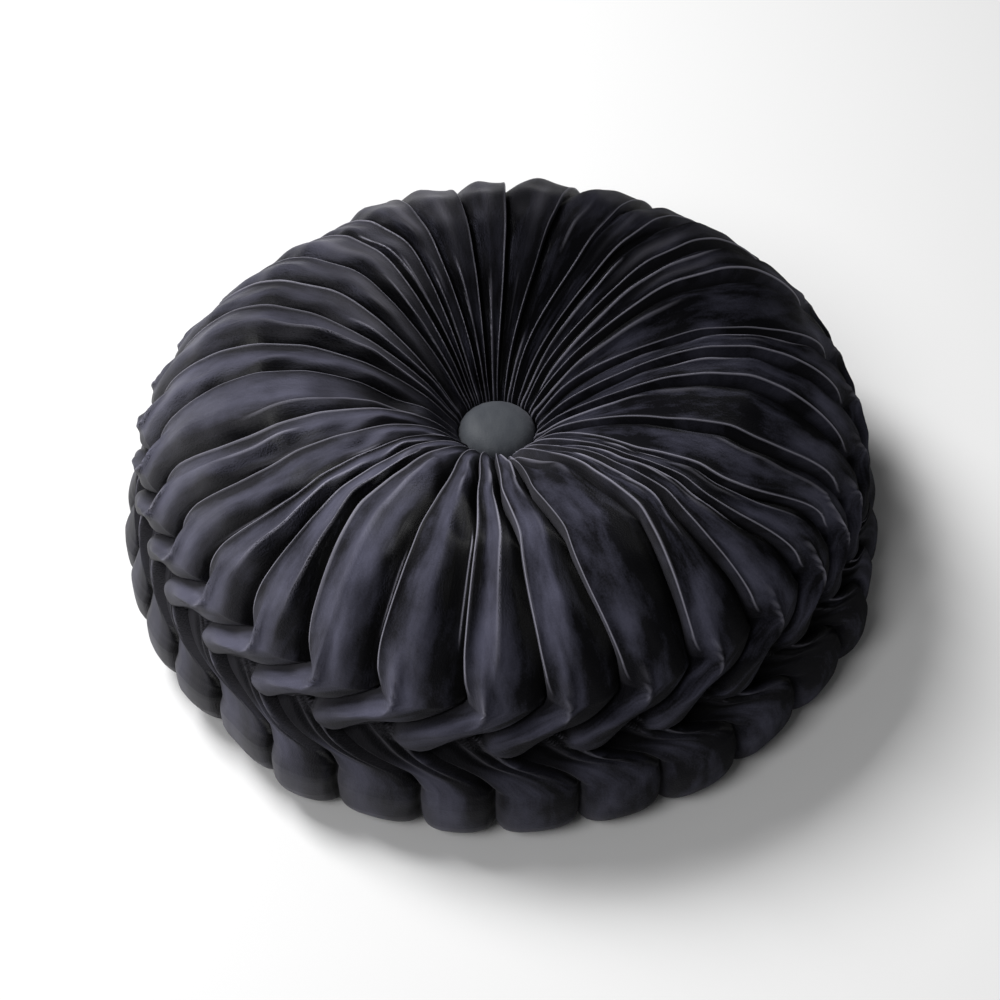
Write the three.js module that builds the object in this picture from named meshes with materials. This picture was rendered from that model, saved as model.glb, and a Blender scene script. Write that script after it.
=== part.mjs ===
// A round pleated floor cushion in velvet: one filled cover with radial folds
// that are caught at thirty-two stitched points round the rim, turn into a plait
// on the side and come out as a row of small puffs above the flat base.
// A covered button is drawn down into the middle of the top.
// Lengths are in millimetres, +Z is up, the base stands on z = 0 and the centre
// of the base is the origin. The side that faces -Y is the front.

import * as THREE from "three";
import { mergeVertices } from "three/addons/utils/BufferGeometryUtils.js";

// Overall sizes
const OVAL = 2.2;            // half width gained along the long diagonal
const OVAL_ANGLE = -45;      // direction of the long diagonal, degrees from the front
const HUB_SHIFT = [-4.5, 0.5, 2.5]; // the button sits this far off the middle: right, back, up
const CENTRE = [1.94, 0.57]; // moves the whole part so that its box is centred on the origin

// Folds, in turn round the cushion. Each row is one valley line, given by its
// direction in degrees (0 at the front, growing to the right) at the stitched
// rim, halfway in, at the inner shoulder and at the button. "reach" tells how
// much of its depth the valley keeps inward of the shoulder, and "swell" how far
// the puff that follows it stands above the mean crown, in millimetres. "rimOut"
// and "footOut" tell how far the cover stands out there at the rim and the foot.
const FOLDS = [
  // rim,   mid,   inner,  hub,   reach, swell, rimOut, footOut
  [-6.2,   -6.0,   -7.8,  -12.0,  1.00,  -1.0,   0.0,   0.5],
  [6.2,     3.2,   -1.0,   -2.0,  1.00,   1.5,   0.0,   0.0],
  [18.2,   13.2,    8.2,    8.0,  1.00,   2.0,   0.0,   0.5],
  [30.5,   31.0,   28.0,   21.0,  0.70,  -1.5,   0.0,   1.5],
  [43.0,   38.3,   34.8,   31.0,  1.00,   0.5,   0.0,  -1.0],
  [55.2,   44.0,   39.5,   40.0,  0.35,  -1.0,   0.0,  -0.5],
  [65.0,   49.5,   44.0,   49.0,  1.00,   2.0,   0.0,   1.5],
  [73.0,   64.0,   60.0,   60.0,  0.90,   1.0,   0.0,  -3.0],
  [82.0,   81.0,   80.0,   76.0,  1.00,  -1.0,   0.5,  -3.0],
  [93.5,   90.6,   91.0,   91.0,  1.00,  -1.0,   0.5,  -3.0],
  [104.0,  97.0,   99.0,  107.0,  1.00,   2.5,   2.0,  -1.0],
  [116.0, 117.5,  121.0,  123.0,  1.00,   0.0,   4.5,   1.0],
  [127.0, 129.5,  132.5,  136.0,  1.00,   0.5,   2.5,   0.0],
  [139.0, 141.5,  143.5,  147.0,  0.40,  -1.0,   0.5,   0.5],
  [151.0, 151.2,  152.5,  158.0,  1.00,   1.0,  -0.5,  -0.5],
  [165.5, 166.3,  167.4,  168.5,  1.00,   1.5,  -3.5,   0.0],
  [181.0, 180.7,  180.2,  178.5,  1.00,   0.5,  -3.0,  -1.0],
  [193.0, 192.3,  192.0,  190.0,  1.00,   1.0,  -5.0,   0.5],
  [206.0, 205.3,  204.5,  200.5,  1.00,   0.5,  -2.0,   0.0],
  [219.0, 215.5,  212.0,  210.0,  1.00,  -1.0,  -4.5,  -1.0],
  [228.0, 223.5,  221.5,  219.0,  1.00,   1.0,  -3.5,   0.5],
  [238.0, 236.0,  232.5,  229.0,  1.00,   0.5,  -1.0,   0.0],
  [249.0, 247.0,  243.5,  241.0,  1.00,  -0.5,   2.5,   1.0],
  [259.0, 257.0,  256.0,  253.0,  0.80,   1.5,   4.5,   1.5],
  [268.0, 271.0,  269.5,  265.0,  1.00,  -1.0,   5.5,   1.0],
  [277.2, 279.7,  279.5,  278.0,  1.00,   2.0,   4.0,   0.5],
  [286.2, 296.2,  297.0,  291.0,  1.00,   0.5,   2.0,  -0.5],
  [295.8, 305.5,  307.5,  303.0,  0.60,   0.0,   0.5,  -0.7],
  [305.8, 315.0,  317.0,  313.0,  1.00,  -1.0,   0.0,  -1.2],
  [317.2, 320.8,  323.0,  321.0,  0.45,   0.5,   0.0,  -3.0],
  [328.5, 326.8,  329.0,  329.5,  1.00,   1.5,   0.0,   3.0],
  [340.2, 341.8,  343.0,  338.0,  1.00,   0.5,   0.0,   0.0],
];
const N = FOLDS.length;

// Sections from the button well over the crown and down to the base. Each row
// is one ring of the cover: its outline radius and height at the top of the
// puffs, the depth of its valleys, and how wide the valley's leading and
// trailing flanks are, as fractions of a fold's pitch. "drift" is the sideways
// run of the fold lines since the stitched row, in pitches, which makes the
// plait, and "leaf" is how much of the fold stands clear of the recess there.
const SECTIONS = [
  // r,     z,    depth, lead, trail, drift, leaf
  [17.4,   66.0,   0.0,  0.50, 0.50,  0.00,  1.0],
  [19.6,   68.4,   0.0,  0.50, 0.50,  0.00,  1.0],
  [19.8,   72.6,   0.3,  0.45, 0.55,  0.00,  1.0],
  [24.0,   79.5,   2.0,  0.40, 0.60,  0.00,  1.0],
  [32.0,   90.0,   3.6,  0.35, 0.65,  0.00,  1.0],
  [42.0,   99.8,   5.2,  0.30, 0.70,  0.00,  1.0],
  [54.0,  109.8,   7.0,  0.28, 0.72,  0.00,  1.0],
  [68.0,  120.0,   9.0,  0.26, 0.74,  0.00,  1.0],
  [83.0,  127.4,  11.5,  0.24, 0.76,  0.00,  1.0],
  [98.0,  131.5,  13.5,  0.22, 0.78,  0.00,  1.0],
  [114.0, 132.0,  15.0,  0.20, 0.78,  0.00,  1.0],
  [130.0, 127.0,  16.0,  0.20, 0.78,  0.00,  1.0],
  [145.0, 117.0,  16.0,  0.22, 0.74,  0.00,  1.0],
  [158.0, 104.0,  14.0,  0.26, 0.70,  0.00,  1.0],
  [167.6,  91.4,  12.0,  0.30, 0.60,  0.00,  1.0],
  [175.0,  79.0,  10.5,  0.55, 0.35,  0.00,  1.0],
  [177.2,  74.6,   9.5,  0.70, 0.20, -0.28,  1.0],
  [179.0,  70.0,   9.0,  0.80, 0.14, -0.58,  1.0],
  [180.8,  65.4,   9.0,  0.84, 0.12, -0.86,  0.8],
  [182.6,  60.4,   9.0,  0.84, 0.12, -1.16,  0.5],
  [184.6,  55.2,   9.5,  0.84, 0.14, -1.40,  0.2],
  [186.7,  50.0,   9.5,  0.70, 0.20, -1.44,  0.6],
  [188.8,  44.4,   9.0,  0.60, 0.26, -1.30,  1.0],
  [191.4,  37.0,   8.5,  0.50, 0.34, -0.80,  1.0],
  [193.4,  28.4,   9.0,  0.42, 0.42, -0.52,  1.0],
  [193.6,  19.4,  10.0,  0.40, 0.40, -0.48,  1.0],
  [191.0,  10.8,   9.0,  0.40, 0.40, -0.48,  1.0],
  [185.0,   4.2,   6.0,  0.42, 0.42, -0.48,  1.0],
  [171.0,   0.6,   1.5,  0.50, 0.50, -0.48,  1.0],
  [155.0,   0.0,   0.0,  0.50, 0.50, -0.48,  1.0],
];

// Where the columns of the cover stand inside one fold, as fractions of a pitch
const COLUMNS = [0, 0.12, 0.3, 0.52, 0.76, 0.92];

// Smooth step from 0 at a to 1 at b
function ease(a, b, x) {
  const t = Math.min(1, Math.max(0, (x - a) / (b - a)));
  return t * t * (3 - 2 * t);
}

// Arc length of each section from the edge of the well
const arcs = [0];
for (let k = 1; k < SECTIONS.length; k++) {
  const [r0, z0] = SECTIONS[k - 1];
  const [r1, z1] = SECTIONS[k];
  arcs.push(arcs[k - 1] + Math.hypot(r1 - r0, z1 - z0));
}

// Direction in degrees of fold line i at arc length s
function foldAngle(i, s) {
  const turn = Math.floor(i / N);
  const [rim, mid, inner, hub] = FOLDS[i - turn * N];
  const toInner = ease(27, 91, s);
  const toMid = ease(91, 129, s);
  const toRim = ease(125, 198, s);
  const base = hub + (inner - hub) * toInner + (mid - inner) * toMid + (rim - mid) * toRim;
  return base + 360 * turn;
}

// Direction in degrees of any place counted in folds along the ring at arc s
function direction(u, s) {
  const i = Math.floor(u);
  const a = foldAngle(i, s);
  return a + (foldAngle(i + 1, s) - a) * (u - i);
}

// Height of the cloth over one fold, 0 on the puff and -1 at the valley line
function foldShape(f, lead, trail) {
  const rise = 1 - Math.pow(Math.max(0, 1 - f / lead), 1.8);
  const fall = 1 - Math.pow(Math.max(0, 1 - (1 - f) / trail), 1.5);
  return rise * fall - 1;
}

// A column of the table of folds at any place counted in folds, eased between rows
function between(column, u) {
  const i = Math.floor(u);
  const row = (j) => FOLDS[((j % N) + N) % N][column];
  return row(i) + (row(i + 1) - row(i)) * ease(0, 1, u - i);
}

// Outward direction of a section in the (r, z) plane
function outward(k) {
  const a = SECTIONS[Math.max(0, k - 1)];
  const b = SECTIONS[Math.min(SECTIONS.length - 1, k + 1)];
  const dr = b[0] - a[0], dz = b[1] - a[1], l = Math.hypot(dr, dz);
  return [-dz / l, dr / l];
}

// A point of the cover on section k, at fraction f of fold i
function coverPoint(k, i, f) {
  const [r, z, depth, lead, trail, drift, leaf] = SECTIONS[k];
  const s = arcs[k];
  const u = i + f + drift;
  const angle = THREE.MathUtils.degToRad(direction(u, s));
  const [, , , , reach, swell] = FOLDS[((i % N) + N) % N];
  const kept = reach + (1 - reach) * ease(84, 150, s);
  const crown = ease(40, 100, s) * (1 - ease(150, 190, s));
  let h = depth * kept * foldShape(f, lead, trail) + swell * crown * Math.sin(Math.PI * f);
  if (leaf < 1) h -= 5 * (1 - ease(1 - leaf - 0.2, 1 - leaf + 0.05, f)) * (1 - f);
  h += between(6, u) * ease(85, 150, s) * (1 - ease(215, 255, s));
  h += between(7, u) * ease(225, 255, s) * (1 - ease(285, 305, s));
  const [nr, nz] = outward(k);
  const oval = OVAL * ease(60, 190, s) * Math.cos(2 * (angle - THREE.MathUtils.degToRad(OVAL_ANGLE)));
  const radius = r - OVAL * ease(60, 190, s) + oval + h * nr;
  const height = Math.max(z > 0 ? 0.25 : 0, z + h * nz);
  const drawn = 1 - ease(15, 115, s);
  return [
    radius * Math.sin(angle) + HUB_SHIFT[0] * drawn + CENTRE[0],
    -radius * Math.cos(angle) + HUB_SHIFT[1] * drawn + CENTRE[1],
    height + HUB_SHIFT[2] * drawn,
  ];
}

// Closed solid from rings of points, with a flat cap at the first and last
// ring. Every four-sided patch is parted along its shorter diagonal.
function solidFromRings(rings, capTop, capBase) {
  const points = rings.flat();
  const span = (p, q) => Math.hypot(points[p][0] - points[q][0], points[p][1] - points[q][1], points[p][2] - points[q][2]);
  const count = rings[0].length;
  const faces = [];
  for (let k = 0; k + 1 < rings.length; k++) {
    for (let c = 0; c < count; c++) {
      const d = (c + 1) % count;
      const a = k * count + c, b = k * count + d;
      const e = a + count, g = b + count;
      if (span(a, g) < span(b, e)) faces.push([a, e, g], [a, g, b]);
      else faces.push([a, e, b], [b, e, g]);
    }
  }
  const top = points.push(capTop) - 1;
  const base = points.push(capBase) - 1;
  const last = (rings.length - 1) * count;
  for (let c = 0; c < count; c++) {
    const d = (c + 1) % count;
    faces.push([top, c, d], [base, last + d, last + c]);
  }
  const geometry = new THREE.BufferGeometry();
  geometry.setAttribute("position", new THREE.Float32BufferAttribute(points.flat(), 3));
  geometry.setIndex(faces.flat());
  return mergeVertices(geometry, 1e-5);
}

// A point on the button's axis at a height above the base, before the hub's lift
function hubPoint(z) {
  return [HUB_SHIFT[0] + CENTRE[0], HUB_SHIFT[1] + CENTRE[1], z + HUB_SHIFT[2]];
}

// The filled cover: a ring of points for every section, six to each fold
function buildCushion() {
  const rings = SECTIONS.map((_, k) => {
    const ring = [];
    for (let i = 0; i < N; i++) for (const f of COLUMNS) ring.push(coverPoint(k, i, f));
    return ring;
  });
  return solidFromRings(rings, hubPoint(SECTIONS[0][1]), [CENTRE[0], CENTRE[1], 0]);
}

// The covered button: a low dome with a rounded edge, seated in the well
const BUTTON_RINGS = [
  // radius, height
  [6.0,  79.2],
  [11.5, 78.0],
  [15.6, 75.9],
  [18.0, 73.2],
  [19.0, 70.6],
  [18.7, 68.6],
  [17.0, 66.4],
];
const BUTTON_SIDES = 48;

function buildButton() {
  const rings = BUTTON_RINGS.map(([r, z]) => {
    const ring = [];
    for (let c = 0; c < BUTTON_SIDES; c++) {
      const a = (2 * Math.PI * c) / BUTTON_SIDES;
      const [x, y, up] = hubPoint(z);
      ring.push([x + r * Math.sin(a), y - r * Math.cos(a), up]);
    }
    return ring;
  });
  return solidFromRings(rings, hubPoint(79.6), hubPoint(BUTTON_RINGS[BUTTON_RINGS.length - 1][1]));
}

const velvet = new THREE.MeshStandardMaterial({ name: "velvet", color: 0x1c1c22, roughness: 1, metalness: 0 });
const buttonVelvet = new THREE.MeshStandardMaterial({ name: "button_velvet", color: 0x2a2a31, roughness: 1, metalness: 0 });

// A mesh with its normals, under the name of its piece
function piece(name, geometry, material) {
  geometry.computeVertexNormals();
  const mesh = new THREE.Mesh(geometry, material);
  mesh.name = name;
  return mesh;
}

const group = new THREE.Group();
group.name = "pleated_cushion";
group.add(piece("cushion", buildCushion(), velvet));
group.add(piece("button", buildButton(), buttonVelvet));

export default group;
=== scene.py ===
# %% [markdown]
# # A round pleated velvet cushion
# The real thing is one tube of velvet. Its upper edge is gathered to the middle
# of the top and drawn down under a covered button, its lower edge is turned
# under a flat base, and between them the cloth is caught by hand at evenly
# spaced points, so that it lies in radial pleats on top and in a plait round
# the side. This lesson builds the cover as one mathematical surface, because
# every pleat is the same idea repeated with small differences.

import math

import bpy
import numpy as np
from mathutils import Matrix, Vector


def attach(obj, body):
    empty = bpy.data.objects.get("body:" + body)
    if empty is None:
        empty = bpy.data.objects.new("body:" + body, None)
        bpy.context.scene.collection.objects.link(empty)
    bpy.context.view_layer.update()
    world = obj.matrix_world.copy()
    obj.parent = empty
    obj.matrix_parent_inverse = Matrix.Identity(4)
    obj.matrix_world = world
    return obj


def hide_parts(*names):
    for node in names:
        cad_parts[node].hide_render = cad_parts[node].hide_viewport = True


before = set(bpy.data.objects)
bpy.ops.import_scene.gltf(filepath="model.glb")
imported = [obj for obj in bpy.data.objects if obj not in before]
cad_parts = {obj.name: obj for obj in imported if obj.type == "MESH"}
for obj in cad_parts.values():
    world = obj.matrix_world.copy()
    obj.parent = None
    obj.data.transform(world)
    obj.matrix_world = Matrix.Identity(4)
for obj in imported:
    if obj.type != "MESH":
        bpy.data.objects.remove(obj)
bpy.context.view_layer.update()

MM = 0.001

# %% [markdown]
# ## The folds
# Each row is one valley between two puffs. "rim", "mid", "inner" and "hub" are
# its directions round the cushion in degrees, 0 at the front and growing to the
# right, and "foot" is how many degrees to the right of its rim it ends at the
# foot. "reach" is the part of its depth that the puff to its right keeps towards
# the button, and "swell" is how many mm that puff is raised. "rim_out" and
# "foot_out" are how many mm the cloth stands out in the rim's direction, at the
# rim and at the foot. A real cover is gathered by hand, so the valleys lean and
# crowd together in their own way, and the table keeps that unevenness.

# %% Table of folds
FOLD_COLUMNS = ("rim", "mid", "inner", "hub", "foot", "reach", "swell", "rim_out", "foot_out")
FOLDS = np.array([
    ( -6.2,   -6.0,   -7.8,  -12.0,  4.6,  1.00, -1.0,   0.0,   0.5),
    (  6.2,    3.2,   -1.0,   -2.0,  4.2,  1.00,  1.5,   0.0,   0.0),
    ( 18.2,   13.2,    8.2,    8.0,  4.2,  1.00,  2.0,   0.0,   0.5),
    ( 30.5,   31.0,   28.0,   21.0,  4.4,  0.70, -1.5,   0.0,   1.5),
    ( 43.0,   38.3,   34.8,   31.0,  4.4,  1.00,  0.5,   0.0,  -1.0),
    ( 55.2,   44.0,   39.5,   40.0,  4.2,  0.35, -1.0,   0.0,  -0.5),
    ( 65.0,   49.5,   44.0,   49.0,  4.0,  1.00,  2.0,   0.0,   1.5),
    ( 73.0,   64.0,   60.0,   60.0,  4.0,  0.90,  1.0,   0.0,  -3.0),
    ( 82.0,   81.0,   80.0,   76.0,  4.5,  1.00, -1.0,   0.5,  -3.0),
    ( 93.5,   90.6,   91.0,   91.0,  5.0,  1.00, -1.0,   0.5,  -3.0),
    (104.0,   97.0,   99.0,  107.0,  5.0,  1.00,  2.5,   0.5,  -1.0),
    (116.0,  117.5,  121.0,  123.0,  5.0,  1.00,  0.0,   3.5,   1.0),
    (127.0,  129.5,  132.5,  136.0,  5.0,  1.00,  0.5,   2.5,   0.0),
    (139.0,  141.5,  143.5,  147.0,  5.0,  0.40, -1.0,   0.5,   0.5),
    (151.0,  151.2,  152.5,  158.0,  6.0,  1.00,  1.0,  -0.5,  -0.5),
    (165.5,  166.3,  167.4,  168.5,  6.0,  1.00,  1.5,  -2.5,   0.0),
    (181.0,  180.7,  180.2,  178.5,  5.0,  1.00,  0.5,  -2.0,  -1.0),
    (193.0,  192.3,  192.0,  190.0,  5.0,  1.00,  1.0,  -3.5,   0.5),
    (206.0,  205.3,  204.5,  200.5,  5.0,  1.00,  0.5,  -2.0,   0.0),
    (219.0,  215.5,  212.0,  210.0,  4.5,  1.00, -1.0,  -4.5,  -1.0),
    (228.0,  223.5,  221.5,  219.0,  5.0,  1.00,  1.0,  -3.5,   0.5),
    (238.0,  236.0,  232.5,  229.0,  5.5,  1.00,  0.5,  -1.0,   0.0),
    (249.0,  247.0,  243.5,  241.0,  6.0,  1.00, -0.5,   2.5,   1.0),
    (259.0,  257.0,  256.0,  253.0,  6.0,  0.80,  1.5,   4.5,   1.5),
    (268.0,  271.0,  269.5,  265.0,  6.5,  1.00, -1.0,   5.5,   1.0),
    (277.2,  279.7,  279.5,  278.0,  7.0,  1.00,  2.0,   4.0,   0.5),
    (286.2,  296.2,  297.0,  291.0,  7.5,  1.00,  0.5,   2.0,  -0.5),
    (295.8,  305.5,  307.5,  303.0,  8.0,  0.60,  0.0,   0.5,  -0.7),
    (305.8,  315.0,  317.0,  313.0,  8.4,  1.00, -1.0,   0.0,  -1.2),
    (317.2,  320.8,  323.0,  321.0,  8.6,  0.45,  0.5,   0.0,  -3.0),
    (328.5,  326.8,  329.0,  329.5,  7.4,  1.00,  1.5,   0.0,   3.0),
    (340.2,  341.8,  343.0,  338.0,  7.8,  1.00,  0.5,   0.0,   0.0),
])
N = len(FOLDS)
fold = {name: FOLDS[:, c] for c, name in enumerate(FOLD_COLUMNS)}
print(N, "folds")

# %% [markdown]
# ## The outline
# Cut the cushion through the button and the cut edge is this outline: down in
# the well, up over the crown, out and down past the stitched row and the plait,
# and in under the puffs to the base. "depth" is how many mm the valleys sink
# there, and the last four columns are the parts of each fold section, described
# below, that are blended there.

# %% Table of sections
SECTION_COLUMNS = ("r", "z", "depth", "gather", "shingle", "plait", "pillow")
SECTIONS = np.array([
    (17.4,   66.0,   0.0, 1, 0, 0, 0),
    (19.6,   68.4,   0.0, 1, 0, 0, 0),
    (19.8,   72.6,   0.6, 1, 0, 0, 0),
    (24.0,   79.5,   3.4, 1, 0, 0, 0),
    (32.0,   90.0,   5.2, 0.8, 0.2, 0, 0),
    (42.0,   99.8,   6.8, 0.5, 0.5, 0, 0),
    (54.0,  109.8,   8.4, 0.2, 0.8, 0, 0),
    (68.0,  120.0,  10.0, 0, 1, 0, 0),
    (83.0,  127.4,  12.0, 0, 1, 0, 0),
    (98.0,  131.5,  13.5, 0, 1, 0, 0),
    (114.0, 132.0,  15.0, 0, 1, 0, 0),
    (130.0, 127.0,  16.0, 0, 1, 0, 0),
    (145.0, 117.0,  16.0, 0, 1, 0, 0),
    (158.0, 104.0,  14.5, 0, 1, 0, 0),
    (167.6,  91.4,  12.5, 0, 0.85, 0.15, 0),
    (175.0,  79.0,  10.5, 0, 0.3, 0.7, 0),
    (177.2,  74.6,   9.0, 0, 0, 1, 0),
    (180.8,  65.4,   8.5, 0, 0, 1, 0),
    (184.6,  55.2,   9.0, 0, 0, 1, 0),
    (188.8,  44.4,   9.0, 0, 0, 0.6, 0.4),
    (191.4,  37.0,   8.5, 0, 0, 0.1, 0.9),
    (193.4,  28.4,   9.0, 0, 0, 0, 1),
    (193.6,  19.4,  10.0, 0, 0, 0, 1),
    (191.0,  10.8,   9.0, 0, 0, 0, 1),
    (185.0,   4.2,   6.0, 0, 0, 0, 1),
    (171.0,   0.6,   1.5, 0, 0, 0, 1),
    (155.0,   0.0,   0.0, 0, 0, 0, 1),
])
STITCHED = 15      # the row of stitched points
PLAIT_DEPTH = 48   # mm from the stitched row down to where the plait is over
PITCH_MM = 36      # mm from one stitch to the next, rounded up
section_arc = np.concatenate([[0.0], np.cumsum(np.hypot(*np.diff(SECTIONS[:, :2], axis=0).T))])
STITCH_ARC = section_arc[STITCHED]
print("outline %.0f mm long, stitched at %.0f mm" % (section_arc[-1], STITCH_ARC))


# %% [markdown]
# ## Small tools
# A step that eases in and out, and a curve that passes smoothly through the
# knots of a table. Both work on whole arrays.

# %% Curves
def ease(a, b, x):
    """0 below a, 1 above b, and between them 3t² - 2t³ of the way t from a to b."""
    t = np.clip((np.asarray(x, float) - a) / (b - a), 0, 1)
    return t * t * (3 - 2 * t)


def through(knots, values, x):
    """A cubic between each pair of knots, which never overshoots.

    The slope at a knot is the harmonic mean of the two chords beside it, 2ab / (a + b), or 0 where
    one rises and the other falls.
    """
    knots, values = np.asarray(knots, float), np.asarray(values, float)
    step = np.diff(knots)
    chord = np.diff(values) / step
    slope = np.zeros_like(values)
    same = chord[:-1] * chord[1:] > 0
    slope[1:-1][same] = 2 * chord[:-1][same] * chord[1:][same] / (chord[:-1] + chord[1:])[same]
    slope[0], slope[-1] = chord[0], chord[-1]
    x = np.clip(x, knots[0], knots[-1])
    k = np.clip(np.searchsorted(knots, x, side="right") - 1, 0, len(step) - 1)
    t = (x - knots[k]) / step[k]
    a, b = values[k], values[k + 1]
    m, n = slope[k] * step[k], slope[k + 1] * step[k]
    return a + m * t + (3 * (b - a) - 2 * m - n) * t**2 + (2 * (a - b) + m + n) * t**3


def uneven(index, seed):
    """A fixed number from -1 to 1 for each fold: the fraction of a large sine, stretched."""
    mixed = np.sin(np.asarray(index) * 12.9898 + seed * 78.233) * 43758.5453
    return 2 * np.modf(np.abs(mixed))[0] - 1


# %% [markdown]
# ## One fold in section
# Across a fold the cloth rises steeply out of one valley, turns over in a lip
# and falls slowly into the next valley. Four such sections are enough, and the
# surface blends from one to the next on its way down: small gathers at the
# button, shingles on the crown, strips in the plait and pillows at the foot.
# "at" counts along the cloth, "across" is the sideways place in pitches, and
# "height" is 0 on the puff and -1 in the valley. Where "across" runs back, the
# lip overhangs its valley, as real pleats do.

# %% Table of fold sections
AT = (0.00, 0.05, 0.10, 0.16, 0.22, 0.30, 0.45, 0.62, 0.80, 0.92, 1.00)
FOLD_SECTION = {
    "gather": ((0.00, 0.02, 0.05, 0.09, 0.14, 0.24, 0.42, 0.62, 0.82, 0.94, 1.00),
               (-1.00, -0.76, -0.44, -0.14, 0.00, -0.10, -0.34, -0.56, -0.78, -0.92, -1.00)),
    "shingle": ((0.045, 0.00, -0.03, -0.04, -0.022, 0.05, 0.22, 0.44, 0.72, 0.92, 1.045),
                (-1.00, -0.78, -0.48, -0.20, -0.05, -0.10, -0.08, -0.02, -0.26, -0.68, -1.00)),
    "plait": ((0.01, 0.03, 0.06, 0.11, 0.17, 0.28, 0.46, 0.68, 0.90, 0.985, 1.01),
              (-1.00, -0.80, -0.56, -0.34, -0.19, -0.07, 0.00, -0.02, -0.12, -0.42, -1.00)),
    "pillow": ((0.00, 0.03, 0.07, 0.13, 0.21, 0.32, 0.50, 0.68, 0.86, 0.96, 1.00),
               (-1.00, -0.66, -0.40, -0.20, -0.08, -0.01, 0.00, -0.04, -0.22, -0.56, -1.00)),
}
COLUMNS_PER_FOLD = 38


def fold_columns(count):
    """Places from 0 to 1 along one fold's cloth, packed closer where it bends most, near the lip."""
    x = np.arange(count) / count
    return x - 0.07 * np.sin(2 * np.pi * x) + 0.012 * np.sin(4 * np.pi * x)


columns = fold_columns(COLUMNS_PER_FOLD)
print("columns in a fold:", np.round(columns, 3))

# %% [markdown]
# ## Rows down the outline
# The rows stand closer round the plait, where the forms are smallest.

# %% Rows
def rows_down():
    """Arc lengths in mm: five parts of the outline, each cut evenly."""
    near_stitches = STITCH_ARC - 22
    below_plait = STITCH_ARC + PLAIT_DEPTH
    parts = [
        np.linspace(0, section_arc[2], 4)[:-1],
        np.linspace(section_arc[2], near_stitches, 60)[:-1],
        np.linspace(near_stitches, STITCH_ARC, 17)[:-1],
        np.linspace(STITCH_ARC, below_plait, 58)[:-1],
        np.linspace(below_plait, section_arc[-1], 20),
    ]
    return np.concatenate(parts)


arc = rows_down()
K = len(arc)
section = {name: through(section_arc, SECTIONS[:, c], arc) for c, name in enumerate(SECTION_COLUMNS)}
down = arc - STITCH_ARC  # distance below the stitched row, in mm
dr, dz = np.gradient(section["r"], arc), np.gradient(section["z"], arc)
out_r, out_z = -dz / np.hypot(dr, dz), dr / np.hypot(dr, dz)
print(K, "rows,", K * N * COLUMNS_PER_FOLD * 2, "triangles")


# %% [markdown]
# ## Where the fold lines run
# On the crown a fold line turns from its direction at the button to its
# direction at the rim. Below the stitched row the upper strips slant to the
# left, and the tails of the lower puffs come back to the right, so that the two
# meet like the strands of a plait.

# %% Fold lines
STRIP_RUN = 17.7   # mm down for each pitch that an upper strip slants to the left
TAIL_DOWN = (6, 16, 24, 30, 34, 38, 44)   # mm below the stitched row
TAIL_ACROSS = (-1.35, -0.86, -0.54, -0.28, 0.00)   # pitches; the foot gives the last two


def round_and_round(values):
    """The table's column carried on for two turns either way, adding a full circle each turn."""
    return np.concatenate([values + 360 * t for t in (-2, -1, 0, 1, 2)])


def top_lines(s):
    """Directions in degrees of all fold lines at arc length s: hub, inner, mid, rim, by eased steps."""
    a = fold["hub"] + (fold["inner"] - fold["hub"]) * ease(27, 91, s)
    a = a + (fold["mid"] - fold["inner"]) * ease(91, 129, s)
    return a + (fold["rim"] - fold["mid"]) * ease(125, 198, s)


pitch = (np.roll(fold["rim"], -1) - np.roll(fold["rim"], 1)) / 2
pitch = np.where(pitch < 0, pitch + 180, pitch)


def tail_lines(v):
    """Directions of the lower puffs' upper edges v mm below the stitched row."""
    foot = fold["foot"] / pitch
    across = np.array([through(TAIL_DOWN, TAIL_ACROSS + (f - 0.16, f), v) for f in foot])
    return fold["rim"] + across * pitch


def along(lines, place):
    """Direction at a place counted in folds: straight between neighbouring lines."""
    return np.interp(place, np.arange(-2 * N, 3 * N), round_and_round(lines))


def smooth_round(values, direction):
    """A value given for each fold at the rim, carried smoothly round to any direction in degrees."""
    middle = np.concatenate([fold["rim"] + 360 * t for t in (-1, 0, 1)])
    x = np.mod(direction + 6.2, 360) - 6.2
    return through(middle, np.tile(values, 3), x)


def place_of(lines, direction):
    """The place in folds that lies in a direction: the inverse of along."""
    return np.interp(direction, round_and_round(lines), np.arange(-2 * N, 3 * N))
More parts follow.
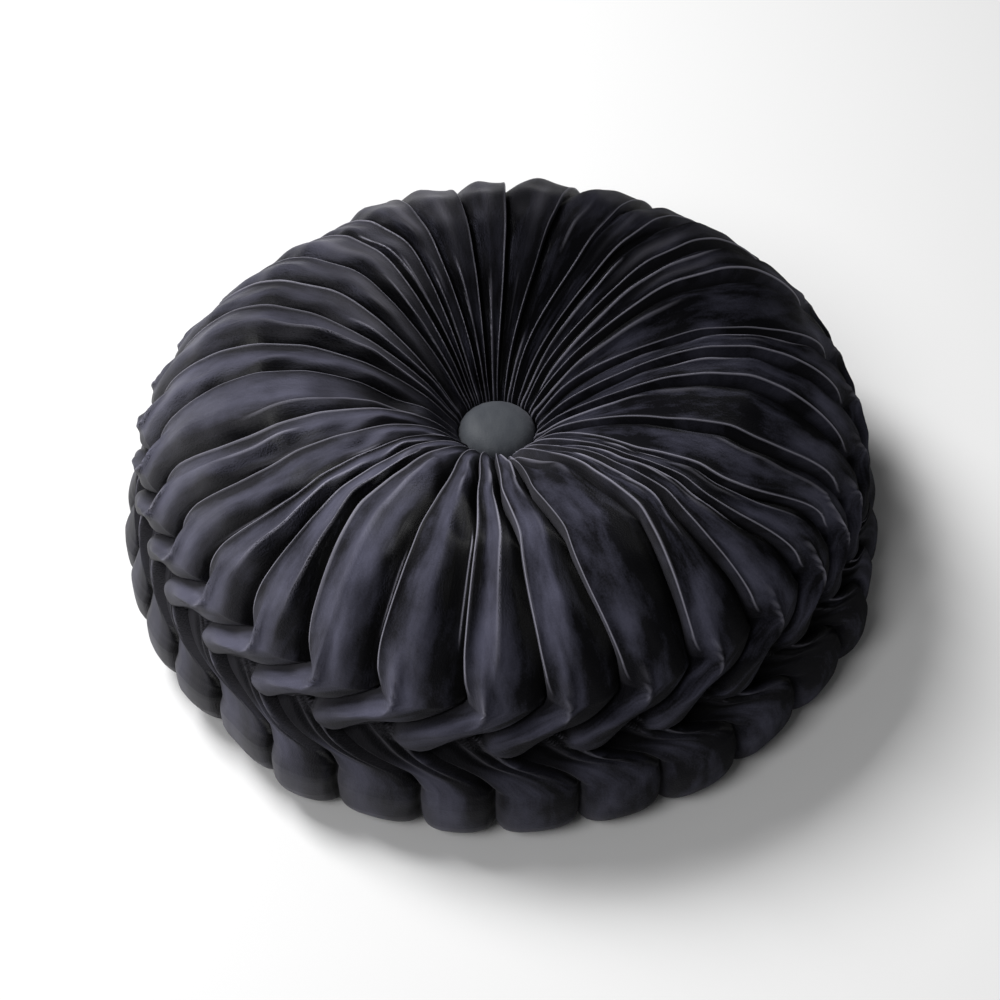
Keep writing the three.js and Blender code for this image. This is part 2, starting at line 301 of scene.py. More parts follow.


# %% [markdown]
# ## The small creases
# Between the valleys the velvet is pushed into smaller creases that start at the
# button or at a stitch and fade out. Each row places one: the fold it lies in,
# its place across that fold at both ends, where it begins and ends below the
# well, and the width and height of its ridge in mm. A negative height is a
# trough.

# %% Table of creases
CREASE_COLUMNS = ("fold", "across0", "across1", "arc0", "arc1", "width", "height")
CREASES = np.array([
    (0,  0.55, 0.30,  95, 205, 2.6,  3.0),
    (0,  0.30, 0.10, 100, 190, 3.0, -3.0),
    (1,  0.35, 0.45,  20, 100, 2.4,  2.0),
    (2,  0.45, 0.42,   8,  92, 3.5, -4.5),
    (2,  0.62, 0.55,   8, 105, 3.0,  3.0),
    (2,  0.18, 0.30, 120, 178, 2.0,  2.0),
    (3,  0.62, 0.50,  70, 150, 2.4,  2.2),
    (4,  0.60, 0.75, 100, 170, 2.2,  2.2),
    (6,  0.55, 0.30, 120, 200, 2.6,  2.5),
    (7,  0.60, 0.55,  80, 125, 3.5,  2.5),
    (8,  0.45, 0.50,  85, 130, 3.0,  2.2),
    (10, 0.48, 0.45,  35, 112, 3.0,  3.5),
    (11, 0.38, 0.42,  20, 140, 2.8,  3.0),
    (12, 0.45, 0.50,  30, 100, 2.6,  2.2),
    (14, 0.40, 0.35,  90, 140, 3.5,  2.2),
    (16, 0.50, 0.45,   8,  70, 2.6,  2.0),
    (17, 0.45, 0.50,   8,  88, 3.0,  3.0),
    (19, 0.55, 0.60,  20, 130, 3.0,  2.5),
    (22, 0.45, 0.50,  25,  92, 3.0,  2.8),
    (23, 0.40, 0.50,  60, 150, 3.0,  2.5),
    (25, 0.30, 0.45,  40, 150, 5.0, -4.5),
    (25, 0.55, 0.62,  40, 150, 3.5,  2.5),
    (26, 0.55, 0.60,  90, 165, 4.0, -3.0),
    (27, 0.50, 0.55,  85, 140, 3.5, -3.0),
    (28, 0.35, 0.45, 120, 195, 3.0,  3.0),
    (29, 0.55, 0.50,  80, 200, 3.0,  2.5),
    (30, 0.30, 0.22,  80, 200, 2.6,  3.0),
    (30, 0.50, 0.45, 100, 170, 4.0, -2.5),
    (31, 0.70, 0.72, 110, 190, 4.0, -3.0),
    (31, 0.87, 0.87, 120, 186, 2.0,  2.4),
    (30, 0.86, 0.88, 135, 190, 2.2,  2.2),
    (28, 0.84, 0.86, 130, 190, 2.2,  2.2),
    (27, 0.82, 0.80, 120, 190, 2.4,  2.2),
    (26, 0.28, 0.26, 120, 195, 2.4,  2.0),
    (5,  0.60, 0.50, 130, 195, 2.2,  2.6),
    (7,  0.30, 0.36, 130, 190, 2.2,  2.4),
    (9,  0.55, 0.50, 110, 180, 2.4,  2.4),
])
print(len(CREASES), "small creases placed by hand, each by its", ", ".join(CREASE_COLUMNS))


def small_gathers():
    """Gathers between some valleys at the button, in the table's columns. They end at 40 to 96 mm."""
    behind = np.cos(np.radians(fold["hub"])) < -0.2
    i = np.flatnonzero(uneven(np.arange(N), 7.0) > np.where(behind, 0.3, -0.1))
    across0 = 0.52 + 0.13 * uneven(i, 2.0)
    across1 = across0 + 0.08 * uneven(i, 5.0)
    arc0, arc1 = 2 + 0 * i, 68 + 28 * uneven(i, 3.0)
    width, height = 2.2 + 0 * i, 2.7 + 0.9 * uneven(i, 4.0)
    return np.stack([i, across0, across1, arc0, arc1, width, height], -1)


ALL_CREASES = np.concatenate([CREASES, small_gathers()])


def overlap(off, width):
    """A pleat's edge in section, off mm from it: a short hollow, a steep step up and a slow fall."""
    up = 0.5 * (1 + np.tanh(off / 0.55))
    behind = np.exp(-np.maximum(off, 0) / width)
    before = np.exp(np.minimum(off, 0) / (0.8 * width))
    return up * behind - 0.45 * (1 - up) * before


LIP_END = 0.26     # place along a fold's cloth where the lip is over
APART = 0.09       # nearest that two creases may stand and both keep a column
CLOSE_UP = 0.07    # places within about this of a crease are drawn towards it


def columns_along_creases():
    """Rows by columns of places along the cloth.

    One column runs along each crease beyond the lip, and its neighbours close up to it.
    """
    rows = np.tile(columns, (K, N, 1))
    fine = np.linspace(LIP_END, 1, 120)
    sideways = sum(
        section[kind][:, None] * through(AT, side, fine)[None, :]
        for kind, (side, _) in FOLD_SECTION.items()
    )
    for i in range(N):
        lines = []
        for f, a0, a1, s0, s1, _, _ in ALL_CREASES:
            across = a0 + (a1 - a0) * np.clip((arc - s0) / (s1 - s0), 0, 1)
            if int(f) == i and across.min() > 0.2:
                lines.append(np.array([np.interp(across[k], sideways[k], fine) for k in range(K)]))
        lines.sort(key=lambda line: line.mean())
        kept = []
        for line in lines:
            near = columns[np.argmin(np.abs(columns - line.mean()))]
            if not kept or near - kept[-1][0] > APART:
                kept.append((near, line if not kept else np.maximum(line, kept[-1][1] + 0.06)))
        for k in range(K):
            before = [0, LIP_END] + [near for near, _ in kept] + [1.0]
            after = [0, LIP_END] + [float(line[k]) for _, line in kept] + [1.0]
            at = through(before, after, columns)
            for _, line in kept:
                off = at - line[k]
                at = line[k] + off * (1 - 0.4 * np.exp(-((off / CLOSE_UP) ** 2)))
            rows[k, i] = at
    return rows.reshape(K, -1)


def crease_height(place, s):
    """Sum over the creases of height x section across x a smooth rise and fall along. Troughs are bells."""
    total = np.zeros(place.shape)
    pitch_mm = np.radians(360 / N) * section["r"][:, None]
    for f, a0, a1, s0, s1, w, h in ALL_CREASES:
        t = np.clip((s - s0) / (s1 - s0), 0, 1)
        off = place - (f + a0 + (a1 - a0) * t)
        off = (off - N * np.round(off / N)) * pitch_mm
        along_fade = ease(s0 - 8, s0 + 14, s) * (1 - ease(s1 - 34, s1 + 6, s))
        total += h * along_fade * (overlap(off, w) if h > 0 else np.exp(-((off / w) ** 2)))
    return total


def soft_waves(place, s):
    """Slow waves of the filled cloth in mm, none at the hub or the stitches.

    They are two slanting sines whose phase differs from fold to fold.
    """
    i = np.floor(place) % N
    across = place - i
    long_waves = 0.7 * np.sin(2 * np.pi * (s / 52 + 0.6 * across) + 9 * uneven(i, 11.0))
    short_waves = 0.5 * np.sin(2 * np.pi * (s / 29 - 0.9 * across) + 9 * uneven(i, 12.0))
    f = place - np.floor(place)
    return (long_waves + short_waves) * np.sin(np.pi * f) ** 2 * ease(50, 95, s) * (1 - ease(165, 195, s))


# %% [markdown]
# ## The plait
# Below a stitch the foot of each puff turns left and ends in a rounded strip.
# The strip is the upper layer. The tails of the lower puffs run under it. The
# surface takes the higher of the two layers everywhere, so each strip's end
# stands over a dark recess, as it does on the real cushion.

# %% Heights of the two layers
HOOK_BEND = 8.5      # mm from a stitch to the ridge that turns under it
STRIP_HEIGHT = 8.5   # mm from the valleys to the top of a strip
PUFF_HEIGHT = 9.0    # mm from the valleys to the top of a lower puff
TUCK_DOWN = (0, 14, 22, 30, 38, 48)              # mm below the stitched row
TUCK_HEIGHT = (-13, -10.5, -8.0, -4.5, -1.6, 0)  # mm that the tails are tucked in there


def hook(angle, v):
    """The height in mm of a ridge shaped like a J, with a hollow beside it.

    It runs down the left side of each puff, turns under its stitch and goes on as the strip's upper edge.
    """
    at = place_of(fold["rim"], angle)
    right = (np.mod(at + 0.55, 1) - 0.55) * PITCH_MM
    under_stitch = np.hypot(right, np.maximum(v, 0)) - HOOK_BEND
    beside_stitch = v - HOOK_BEND + 0.36 * right
    line = np.where(right > 0, under_stitch, beside_stitch)
    fade = ease(-30, -6, v) * ease(-17, -6, right) * (1 - ease(15, 22, right))
    return fade * (2.4 * np.exp(-((line / 2.1) ** 2)) - 1.6 * np.exp(-(((line + 4.6) / 2.6) ** 2)))


def section_height(kind, place):
    """Height over one fold of a section kind, looked up by the sideways place instead of along the cloth."""
    across, height = FOLD_SECTION[kind]
    f = place - np.floor(place)
    return through(across, height, f)


def strip_layer(place, v, index):
    """The upper strips in mm, drawn in to a neck under each stitch.

    Their far ends lie on a slanting line, where they round off.
    """
    f = place - np.floor(place)
    beyond_neck = f - v / STRIP_RUN
    pinch = 0.62 * np.exp(-((beyond_neck / 0.26) ** 2)) * ease(2, 9, v)
    narrowed = np.clip(0.5 + (f - 0.5) * (1 + pinch), 0, 1)
    end = 11.2 + 14.6 * f + 3.0 * np.sin(np.pi * f) + 1.5 * uneven(index, 1.0)
    inside = end - v
    round_off = 2.2 * np.clip(1 - inside / 3.5, 0, 1) ** 2 + 3.2 * np.clip(-inside, 0, None)
    strip = STRIP_HEIGHT * section_height("plait", np.floor(place) + np.minimum(narrowed, 0.9999))
    return strip - 1.2 * pinch - round_off


def tail_layer(place, v):
    """The lower puffs and their tails: deep under the strips, rising to the full height at the foot."""
    f = place - np.floor(place)
    tail = 1.2 - 6.0 * (1 - f) ** 1.3 - 5.5 * np.clip((f - 0.9) / 0.1, 0, 1) ** 1.5
    grooves = 2.0 * np.exp(-(((f - 0.50) / 0.09) ** 2)) + 1.7 * np.exp(-(((f - 0.78) / 0.05) ** 2))
    ridges = 1.0 * np.exp(-(((f - 0.88) / 0.05) ** 2)) + 0.8 * np.exp(-(((f - 0.66) / 0.05) ** 2))
    tail = tail + (ridges - grooves) * (1 - ease(26, 40, v))
    puff = PUFF_HEIGHT * section_height("pillow", place)
    w = ease(30, 46, v)
    tuck = through(TUCK_DOWN, TUCK_HEIGHT, v)
    return (1 - w) * tail + w * puff + tuck


def higher(a, b, soft):
    """The larger of two heights with the corner rounded over about soft mm."""
    return 0.5 * (a + b + np.sqrt((a - b) ** 2 + soft**2)) - 0.25 * soft


# %% [markdown]
# ## The cover
# Every vertex belongs to a row and to a column. The row gives its place on the
# outline, the column its place across a fold, and the sections above give the
# height that is added along the outward direction of the outline.

# %% Work out the surface
HUB_SHIFT = (-4.5, 0.5, 2.5)   # the button sits off the middle: mm to the right, to the back and up
CENTRE = (1.94, 0.57, 0.0)     # moves everything so that the part's box is centred on the origin
HUB_AT = np.array(HUB_SHIFT) + np.array(CENTRE)
DIMPLE_DEPTH = 6.0          # mm that a stitch pulls the cloth in
DIMPLE_WIDE = (11.0, 4.5)   # mm to the left and to the right of the stitch
DIMPLE_TALL = (15.0, 4.5)   # mm above and below it


def column_directions(place):
    """The direction of every column in degrees, and its places among the strips and among the tails.

    Above the stitched row a column keeps to its fold line. Below it the column slants with the
    strips first and then turns into the tails.
    """
    angle, upper, lower = np.empty(place.shape), np.empty(place.shape), np.empty(place.shape)
    for k in range(K):
        lines, tails = top_lines(arc[k]), tail_lines(down[k])
        angle[k] = along(lines, place[k] - np.clip(down[k], 0, 24) / STRIP_RUN)
        if down[k] > 0:
            turn = ease(24, 34, down[k])
            angle[k] = angle[k] * (1 - turn) + along(tails, place[k] - 1) * turn
        upper[k] = place_of(lines, angle[k]) + np.clip(down[k], 0, None) / STRIP_RUN
        lower[k] = place_of(tails, angle[k]) + 1
    return angle, upper, lower


def dimple(upper, v):
    """The hollow in mm at a stitch: depth x exp(-|x|^1.4 - |y|^1.4).

    x and y are fractions of its width and height, and it reaches farther up and to the left.
    """
    beside = (np.mod(upper + 0.75, 1) - 0.75) * PITCH_MM
    wide = np.where(beside < 0, *DIMPLE_WIDE)
    tall = np.where(v < 0, *DIMPLE_TALL)
    return DIMPLE_DEPTH * np.exp(-(np.abs(beside / wide) ** 1.4) - np.abs(v / tall) ** 1.4)


def painted_light_and_shade(f, index, turned, sunk):
    """Painted shade, painted light and painted glint, each from 0 to 1.

    The painted shade darkens the valleys and the strips low on the left. The painted light lightens the
    half of each puff by its lip, most on the left and least near the button at the back, and on the right
    only a patch above each stitch. At the back some puffs get a painted glint.
    """
    v, s = down[:, None], arc[:, None]
    to_left, to_back = 0.5 - 0.5 * np.sin(turned + 0.35), -np.cos(turned)
    middle = 0.36 + 0.08 * uneven(index, 21.0)
    # Painted light on the half of each puff by its lip: most on the left, less near the button at the back.
    lit_lip_half = np.exp(-(np.abs((f - middle) / 0.24) ** 3)) * (0.25 + 0.75 * ease(0.1, 0.5, to_left))
    lit_lip_half = lit_lip_half * (1 - 0.75 * ease(0.1, 0.8, to_back) * (1 - ease(105, 160, s)))
    # Painted light in a patch above each stitch, which counts on the right.
    lit_patch = np.exp(-(((f - 0.2) / 0.17) ** 2) - ((v + 32 + 12 * uneven(index, 23.0)) / 20) ** 2)
    # Painted shade in the valleys, reaching higher on the left, and on the strips low on the left.
    painted_shade = ease(0.32 - 0.24 * to_left, 0.95 - 0.4 * to_left, sunk)
    shade_low_on_left = 0.62 * to_left * ease(8, 20, v) * (1 - ease(262, 300, s) * 0.5)
    # A painted glint along some puffs at the back.
    glint_across = (f - 0.34 - 0.12 * uneven(index, 25.0)) / 0.10
    glint_along = (s - 124 - 12 * uneven(index, 26.0)) / 21
    painted_glint = np.exp(-(glint_across**2) - glint_along**2)
    painted_glint = painted_glint * ease(0.3, 0.8, to_back) * ease(-0.7, 0.3, uneven(index, 27.0))
    return np.stack([np.maximum(painted_shade, shade_low_on_left), np.maximum(lit_lip_half, lit_patch), painted_glint], -1)


def cover_surface():
    """Rows by columns of the points in mm, the painted shade, light and glint, and the place on the flat
    cloth in mm.

    A point is the outline's point plus height x outward direction, turned to its column's direction.
    """
    at = columns_along_creases()
    index = np.repeat(np.arange(N), COLUMNS_PER_FOLD)[None, :] + np.zeros((K, 1))
    v, s, depth = down[:, None], arc[:, None], section["depth"][:, None]
    across, rise = np.zeros(at.shape), np.zeros(at.shape)
    for kind, (side, up) in FOLD_SECTION.items():
        weight = section[kind][:, None]
        across += weight * through(AT, side, at)
        rise += weight * through(AT, up, at)
    # Below the stitched row the columns follow the strips, then the tails.
    level = ease(0, 8, v)
    across = across * (1 - level) + at * level
    place = index + across
    angle, upper, lower = column_directions(place)
    turned = np.radians(angle)

    reach = fold["reach"][index.astype(int)]
    kept = reach + (1 - reach) * ease(95, 160, s)
    shallow = 1 - 0.5 * ease(-0.72, -0.95, np.cos(turned)) * ease(80, 140, s)
    swell = fold["swell"][index.astype(int)] * ease(45, 105, s) * (1 - ease(150, 192, s))
    pleats = depth * kept * shallow * rise
    pleats = pleats + swell * np.sin(np.pi * np.clip(across, 0, 1))
    pleats = pleats + crease_height(place, s) + soft_waves(place, s)
    plait = higher(strip_layer(upper, v, np.floor(upper) % N), tail_layer(lower, v), 1.2)
    into = ease(-3, 7, v)
    h = pleats * (1 - into) + plait * into
    h = np.where(v > PLAIT_DEPTH, depth / PUFF_HEIGHT * tail_layer(lower, v), h)
    # How far the cloth lies below the puffs: the painted shade grows with it.
    sunk = -h / np.maximum(depth, 4.0)
    h = h - dimple(upper, v) + hook(angle, v)
    # Some puffs stand out farther than others, at the rim or at the foot.
    rim_out = smooth_round(fold["rim_out"], angle) * ease(85, 150, s) * (1 - ease(215, 255, s))
    foot_out = smooth_round(fold["foot_out"], angle) * ease(225, 255, s) * (1 - ease(285, 305, s))
    h = h + rim_out + foot_out

    oval = 2.2 * ease(67, 198, s) * (np.cos(2 * (turned + np.radians(45))) - 1)
    radius = section["r"][:, None] + oval + h * out_r[:, None]
    level_z = section["z"][:, None]
    z = np.where(level_z > 0.3, np.maximum(level_z + h * out_z[:, None], 0.2), level_z)
    # The button was sewn in a little to the left of the middle, and draws the pleats with it.
    drawn = 1 - ease(15, 115, s)
    x = radius * np.sin(turned) + HUB_SHIFT[0] * drawn
    y = -radius * np.cos(turned) + HUB_SHIFT[1] * drawn
    points = np.stack([x, y, z + HUB_SHIFT[2] * drawn], -1) + np.array(CENTRE)
    weave = np.stack([place * PITCH_MM, s + 0 * place, 0 * place], -1)
    in_fold = np.where(v > 0, upper - np.floor(upper), np.clip(across, 0, 1))
    in_fold = np.where(v > 30, lower - np.floor(lower), in_fold)
    return points, painted_light_and_shade(in_fold, index, turned, sunk), weave


def facing(points):
    """Unit outward normals of a closed ring surface: the cross product of the steps along and across."""
    along_step = np.gradient(points, axis=0)
    across_step = np.roll(points, -1, axis=1) - np.roll(points, 1, axis=1)
    n = np.cross(along_step, across_step)
    return n / np.maximum(np.linalg.norm(n, axis=-1, keepdims=True), 1e-9)


def sharpness(points, normals):
    """How sharply the cloth bends outwards across the folds, in 1/mm.

    It is the change of the unit step from column to column, taken along the normal, per mm.
    """
    right = np.roll(points, -1, axis=1) - points
    left = points - np.roll(points, 1, axis=1)
    a = np.linalg.norm(right, axis=-1, keepdims=True)
    b = np.linalg.norm(left, axis=-1, keepdims=True)
    turn = (right / np.maximum(a, 1e-6) - left / np.maximum(b, 1e-6)) * 2 / np.maximum(a + b, 0.3)
    return -(turn * normals).sum(-1)


# %% [markdown]
# ## From rings to a mesh
# Neighbouring rings are joined by quads, and the first and the last ring are
# closed by a fan to a point in the middle where one is given. The button is
# closed at both ends; the top and the side each stay open at the stitched row,
# where they meet.

# %% Build meshes from rings
def mesh_from_rings(name, rings, top=None, base=None):
    """One object from rings x columns x xyz in mm, closed by a fan to a point where one is given."""
    k, c, _ = rings.shape
    points = rings.reshape(-1, 3)
    a = np.arange(k - 1)[:, None] * c + np.arange(c)[None, :]
    b = np.arange(k - 1)[:, None] * c + (np.arange(c)[None, :] + 1) % c
    corners = [np.stack([a, a + c, b + c, b], -1).ravel()]
    sizes = [np.full((k - 1) * c, 4)]
    around = np.arange(c)
    for centre, row, order in ((top, 0, 1), (base, k - 1, -1)):
        if centre is not None:
            fan = np.stack([np.full(c, len(points)), row * c + around, row * c + (around + order) % c], -1)
            corners.append(fan.ravel())
            sizes.append(np.full(c, 3))
            points = np.concatenate([points, [centre]])
    points = points * MM
    corners = np.concatenate(corners).astype(np.int32)
    sizes = np.concatenate(sizes).astype(np.int32)
    starts = np.concatenate([[0], np.cumsum(sizes)[:-1]]).astype(np.int32)
    mesh = bpy.data.meshes.new(name)
    mesh.vertices.add(len(points))
    mesh.vertices.foreach_set("co", points.ravel())
    mesh.loops.add(len(corners))
    mesh.loops.foreach_set("vertex_index", corners)
    mesh.polygons.add(len(sizes))
    mesh.polygons.foreach_set("loop_start", starts)
    mesh.polygons.foreach_set("use_smooth", np.ones(len(sizes), bool))
    mesh.update(calc_edges=True)
    mesh.validate()
    obj = bpy.data.objects.new(name, mesh)
    bpy.context.scene.collection.objects.link(obj)
    return obj


HIGHLIGHT_FROM, HIGHLIGHT_FULL = 0.34, 1.2   # bend across the folds in 1/mm where the painted highlight starts and is full
GLINT_IN_HIGHLIGHT = 0.34                 # how much of a painted glint at the back goes into the painted highlight, from 0 to 1
PILE_LEAN = 1.25                   # the pile leans round the cushion, clockwise from above


def store(obj, name, values):
    """Writes a number or a vector for each vertex, under the name by which the velvet reads it."""
    kind, field = ("FLOAT", "value") if values.ndim == 1 else ("FLOAT_VECTOR", "vector")
    obj.data.attributes.new(name, kind, "POINT").data.foreach_set(field, values.ravel())


def finish_cloth(obj, normals, bend, paint_masks, weave, lean=1.0):
    """Gives a piece its normals and all that the velvet reads.

    That is the painted shade, the painted light and the painted highlight, from 0 to 1, the place on
    the flat cloth in metres, and the way its tips point: the unit of normal + PILE_LEAN x way round.
    """
    extra = len(obj.data.vertices) - bend.size
    painted_shade, light_paint, painted_glint = paint_masks.reshape(-1, 3).T
    # Painted shade and painted light, one number each per vertex.
    store(obj, "painted_shade", np.append(painted_shade, np.full(extra, painted_shade.mean())))
    store(obj, "painted_light", np.append(light_paint, np.full(extra, light_paint.mean())))
    flat = np.concatenate([normals.reshape(-1, 3)] + [[(0, 0, 1)]] * extra)
    obj.data.normals_split_custom_set_from_vertices(flat)
    at = np.empty(len(flat) * 3)
    obj.data.vertices.foreach_get("co", at)
    at = at.reshape(-1, 3)
    store(obj, "flat_place", np.concatenate([weave.reshape(-1, 3) * MM, at[bend.size:]]))
    radius = np.maximum(np.hypot(at[:, 0], at[:, 1]), 1e-6)
    # Painted highlight on the sharp outward bends, lighter towards the back, and on the painted glints.
    highlight = np.clip((bend.ravel() - HIGHLIGHT_FROM) / (HIGHLIGHT_FULL - HIGHLIGHT_FROM), 0, 1)
    highlight = np.append(highlight, np.zeros(extra)) * (0.55 + 0.45 * ease(-0.2, 0.8, at[:, 1] / radius))
    store(obj, "painted_highlight", np.maximum(highlight, GLINT_IN_HIGHLIGHT * np.append(painted_glint, np.zeros(extra))))
    around = np.stack([at[:, 1], -at[:, 0], 0 * radius], -1) / radius[:, None]
    tips = flat + PILE_LEAN * lean * around
    store(obj, "pile_lean", tips / np.linalg.norm(tips, axis=-1, keepdims=True))


rings, paint_masks, weave = cover_surface()
normals = facing(rings)
bend = sharpness(rings, normals)
stitched_row = int(np.argmin(np.abs(arc - STITCH_ARC)))
above, below = slice(None, stitched_row + 1), slice(stitched_row, None)
top = mesh_from_rings("velvet_top", rings[above], top=HUB_AT + (0, 0, SECTIONS[0, 1]))
side = mesh_from_rings("velvet_side", rings[below], base=CENTRE)
for piece, part in ((top, above), (side, below)):
    finish_cloth(piece, normals[part], bend[part], paint_masks[part], weave[part])
    print(piece.name, len(piece.data.vertices), "vertices,", len(piece.data.polygons), "faces")

# %% [markdown]
# ## The covered button
# A dome of metal or wood with the same velvet stretched over it. Its edge is
# rounded and it is drawn down until the pleats close round it.

# %% Button
BUTTON_OUTLINE = np.array([
    (3.0, 79.5), (6.0, 79.2), (9.0, 78.7), (11.5, 78.0), (13.8, 77.0), (15.6, 75.9), (17.0, 74.6),
    (18.0, 73.2), (18.7, 71.8), (19.0, 70.6), (18.8, 69.4), (18.4, 68.4), (17.6, 67.2), (16.6, 66.4),
])


def button_surface(sides=96):
    """The outline turned round the centre, with a slight unevenness of the cloth near the edge."""
    a = np.linspace(0, 2 * np.pi, sides, endpoint=False)[None, :]
    r, z = BUTTON_OUTLINE[:, :1], BUTTON_OUTLINE[:, 1:]
    pucker = 0.12 * np.sin(23 * a + 1.0) * ease(13, 18.5, r)
    return np.stack([(r + pucker) * np.sin(a), -(r + pucker) * np.cos(a), z + 0 * a], -1) + HUB_AT


BUTTON_TOP, BUTTON_BOTTOM = (0, 0, 79.6), (0, 0, 66.4)   # in mm, in the middle
button_rings = button_surface()
button = mesh_from_rings("velvet_button", button_rings, HUB_AT + BUTTON_TOP, HUB_AT + BUTTON_BOTTOM)
no_bend = np.zeros(button_rings.shape[:2])
# The button gets no painted shade, no painted highlight and an even half of the painted light.
half_painted_light = np.stack([no_bend, no_bend + 0.5, no_bend], -1)
finish_cloth(button, facing(button_rings), no_bend, half_painted_light, button_rings, lean=0.0)

# %% [markdown]
# ## Velvet
# Black velvet is a dense short pile, and it takes the light by the way the pile
# leans more than by the way the cloth faces. So the shader's normal is the
# cloth's own, tipped round the cushion. The colour runs from deep to brushed
# black by streaks, clouds and single tufts, and painted light lifts it on the
# half of each puff by its lip. Painted shade turns it near black in the valleys,
# and a painted highlight makes it pale on sharp outward bends. A little sheen
# lights the tips at a glancing angle.

# %% Colour and node helpers
def linear(hex_colour):
    """sRGB hex to linear RGBA, by the sRGB curve."""
    v = [int(hex_colour[i:i + 2], 16) / 255 for i in (0, 2, 4)]
    return tuple(c / 12.92 if c <= 0.04045 else ((c + 0.055) / 1.055) ** 2.4 for c in v) + (1.0,)


def add(tree, kind, links=(), **settings):
    """Adds a node with its settings and links. A setting that names an input fills that socket."""
    node = tree.nodes.new(kind)
    for name, value in settings.items():
        if hasattr(node, name):
            setattr(node, name, value)
        else:
            node.inputs[name.replace("_", " ")].default_value = value
    for socket, source in dict(links).items():
        tree.links.new(source, node.inputs[socket])
    return node


# %% Black velvet
TUFTS = 0.22           # weight of single tufts beside streaks and clouds
PAINTED_LIGHT_WEIGHT = 0.42         # weight of the painted light
RAMP = (0.545, 0.855)  # half the weighted sum, at deep and at brushed black


def noise(tree, vector, size_mm, detail, roughness):
    """Noise from 0 to 1 in patches about size_mm across."""
    node = add(tree, "ShaderNodeTexNoise", {"Vector": vector}, Detail=detail, Roughness=roughness)
    node.inputs["Scale"].default_value = 1 / (size_mm * MM)
    return node.outputs["Fac"]


def attribute(tree, name, output="Fac"):
    """What finish_cloth stored under a name."""
    return add(tree, "ShaderNodeAttribute", attribute_name=name).outputs[output]


def weighted(tree, value, weight, rest):
    """value x weight + rest."""
    node = add(tree, "ShaderNodeMath", {0: value, 2: rest}, operation="MULTIPLY_ADD")
    node.inputs[1].default_value = weight
    return node.outputs["Value"]


def black_velvet(name, deep, brushed, highlight_colour, shade_colour, sheen_tint, streak_mm):
    """Short cut pile, dyed black.

    Colour = ramp((streaks + clouds + TUFTS x tufts + PAINTED_LIGHT_WEIGHT x painted light) / 2), then
    blended to the shade colour by the painted shade and to the highlight colour by the painted highlight.
    """
    material = bpy.data.materials.new(name)
    material.use_nodes = True
    tree = material.node_tree
    tree.nodes.clear()
    where = add(tree, "ShaderNodeTexCoord").outputs["Object"]
    cloth = attribute(tree, "flat_place", "Vector")
    stretched = add(tree, "ShaderNodeMapping", {"Vector": cloth}, Scale=(1.0, 0.3, 1.0)).outputs["Vector"]
    streaks = noise(tree, stretched, streak_mm, 4.0, 0.6)
    tufts = noise(tree, where, 0.9, 2.0, 0.7)
    clouds = noise(tree, where, 45, 3.0, 0.55)
    total = weighted(tree, streaks, 1.0, weighted(tree, tufts, TUFTS, clouds))
    # Painted light lifts the colour towards brushed black on the puffs' lit halves.
    total = weighted(tree, attribute(tree, "painted_light"), PAINTED_LIGHT_WEIGHT, total)
    half = add(tree, "ShaderNodeMath", {0: total}, operation="MULTIPLY")
    half.inputs[1].default_value = 0.5
    ramp = add(tree, "ShaderNodeValToRGB", {"Fac": half.outputs["Value"]})
    for end, place, shade in zip(ramp.color_ramp.elements, RAMP, (deep, brushed)):
        end.position = place
        end.color = linear(shade)
    colour = ramp.outputs["Color"]
    # Painted shade in the valleys, then a painted highlight on the sharp bends.
    for amount, shade in (("painted_shade", shade_colour), ("painted_highlight", highlight_colour)):
        mixed = add(tree, "ShaderNodeMix", {0: attribute(tree, amount), 6: colour}, data_type="RGBA")
        mixed.inputs[7].default_value = linear(shade)
        colour = mixed.outputs[2]
    tips = add(tree, "ShaderNodeVectorTransform", {"Vector": attribute(tree, "pile_lean", "Vector")},
               vector_type="NORMAL", convert_from="OBJECT", convert_to="WORLD")
    bump = add(tree, "ShaderNodeBump", {"Height": tufts, "Normal": tips.outputs["Vector"]},
               Strength=0.5, Distance=0.3 * MM)
    surface = add(tree, "ShaderNodeBsdfPrincipled", {"Base Color": colour, "Normal": bump.outputs["Normal"]},
                  Roughness=0.45, IOR=1.45, Specular_IOR_Level=0.08, Sheen_Weight=0.12,
                  Sheen_Roughness=0.5, Sheen_Tint=linear(sheen_tint))
    add(tree, "ShaderNodeOutputMaterial", {"Surface": surface.outputs["BSDF"]})
    return material


velvet = black_velvet(
    "black_velvet", deep="0a0a0e", brushed="545465", highlight_colour="bcbaca", shade_colour="030304",
    sheen_tint="d8d6e4", streak_mm=9,
)
# The button's velvet is painted a lighter grey than the cushion's: painted light where its stretched pile
# faces up to the lights.
lit_button_velvet = black_velvet(
    "black_velvet_button_painted_lighter", deep="42454a", brushed="525559", highlight_colour="525559", shade_colour="202024",
    sheen_tint="d8d6e4", streak_mm=6,
)
top.data.materials.append(velvet)
side.data.materials.append(velvet)
button.data.materials.append(lit_button_velvet)

for piece, node, finish in (
    (top, "cushion", "cover_velvet"),
    (side, "cushion", "cover_velvet"),
    (button, "button", "button_velvet"),
):
    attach(piece, "root")
    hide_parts(node)

# %% [markdown]
# ## Stage
# A pale floor, a large soft light from the back left, a weaker one from the
# front left and a faint pale surround.

# %% Floor, lights and camera
def look_at(obj, place, target):
    """Stands an object at a place with its -Z axis towards the target."""
    obj.location = place
    obj.rotation_euler = (Vector(target) - Vector(place)).to_track_quat("-Z", "Y").to_euler()


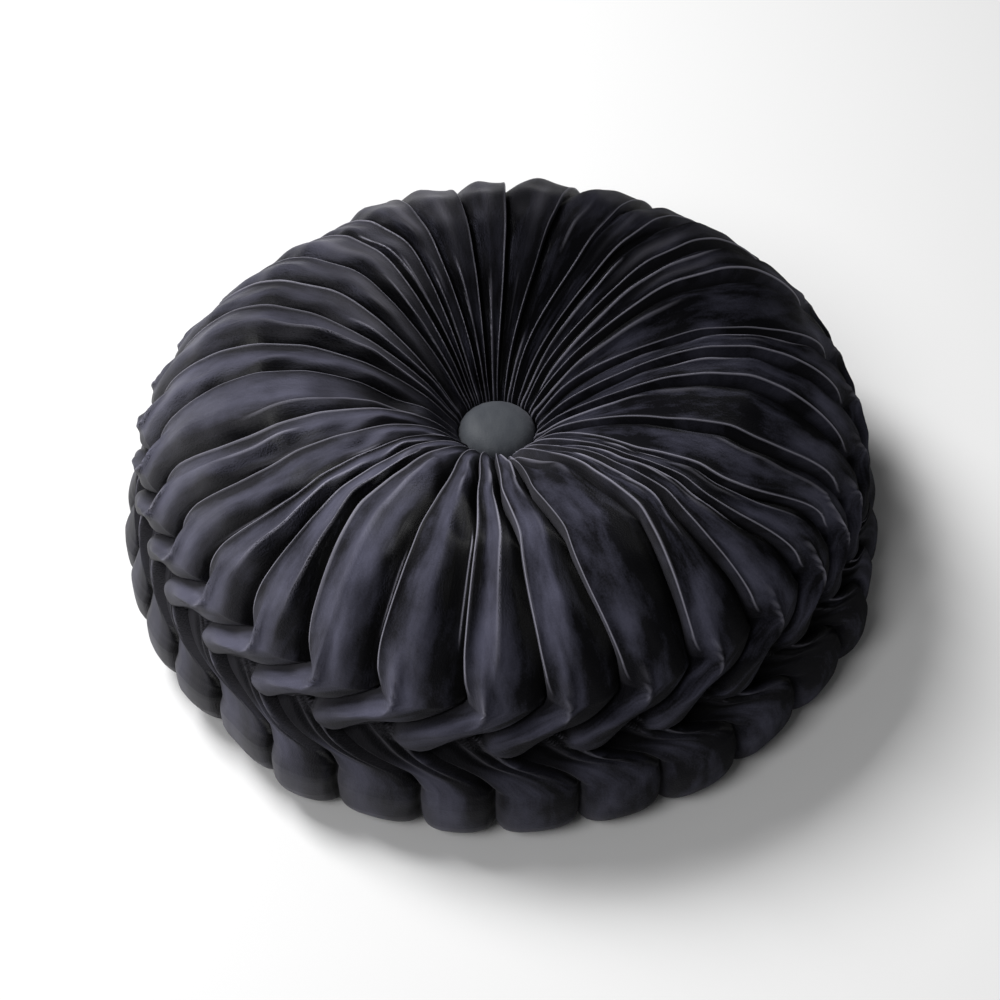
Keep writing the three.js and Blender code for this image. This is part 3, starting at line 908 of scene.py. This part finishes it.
floor_mesh = bpy.data.meshes.new("floor")
HALF_FLOOR = 6
floor_corners = [(x * HALF_FLOOR, y * HALF_FLOOR, 0) for x, y in ((-1, -1), (1, -1), (1, 1), (-1, 1))]
floor_mesh.from_pydata(floor_corners, [], [(0, 1, 2, 3)])
floor = bpy.data.objects.new("floor", floor_mesh)
bpy.context.scene.collection.objects.link(floor)
paper = bpy.data.materials.new("white_paper")
paper.use_nodes = True
paper_surface = paper.node_tree.nodes["Principled BSDF"]
paper_surface.inputs["Base Color"].default_value = linear("f4f4f4")
paper_surface.inputs["Roughness"].default_value = 0.9
floor.data.materials.append(paper)


def soft_light(name, place, target, size, power):
    """A square area light of that size in metres and power in watts."""
    data = bpy.data.lights.new(name, "AREA")
    data.size, data.energy = size, power
    obj = bpy.data.objects.new(name, data)
    bpy.context.scene.collection.objects.link(obj)
    look_at(obj, place, target)


MIDDLE = (0, 0, 0.06)
soft_light("key", (-1.05, 0.74, 1.59), MIDDLE, 0.8, 44)
soft_light("fill", (-0.74, -1.06, 1.59), MIDDLE, 0.8, 13)
world = bpy.data.worlds.new("surround")
bpy.context.scene.world = world
world.use_nodes = True
surround = world.node_tree.nodes["Background"]
surround.inputs["Color"].default_value = (1, 1, 1, 1)
surround.inputs["Strength"].default_value = 0.08
bpy.context.scene.view_settings.view_transform = "Standard"

# The camera that fits the photograph looks down at 47 degrees from 0.95 m, with a 68.8 mm lens.
ELEVATION, DISTANCE = math.radians(47), 0.95
FRAME_PX, FOCAL_PX, SENSOR_MM = 1000, 1911.0, 36.0
AXIS_X_PX, AXIS_Y_PX = 506.2, 450.3   # where the lens points, from the frame's left and top
camera_data = bpy.data.cameras.new("camera")
camera_data.sensor_width = SENSOR_MM
camera_data.lens = SENSOR_MM * FOCAL_PX / FRAME_PX
camera_data.shift_x = (FRAME_PX / 2 - AXIS_X_PX) / FRAME_PX
camera_data.shift_y = (AXIS_Y_PX - FRAME_PX / 2) / FRAME_PX
camera = bpy.data.objects.new("camera", camera_data)
bpy.context.scene.collection.objects.link(camera)
AIM = (CENTRE[0] * MM, CENTRE[1] * MM, 0.06)
BACK, UP = DISTANCE * math.cos(ELEVATION), DISTANCE * math.sin(ELEVATION)
look_at(camera, (AIM[0], AIM[1] - BACK, AIM[2] + UP), AIM)
bpy.context.scene.camera = camera
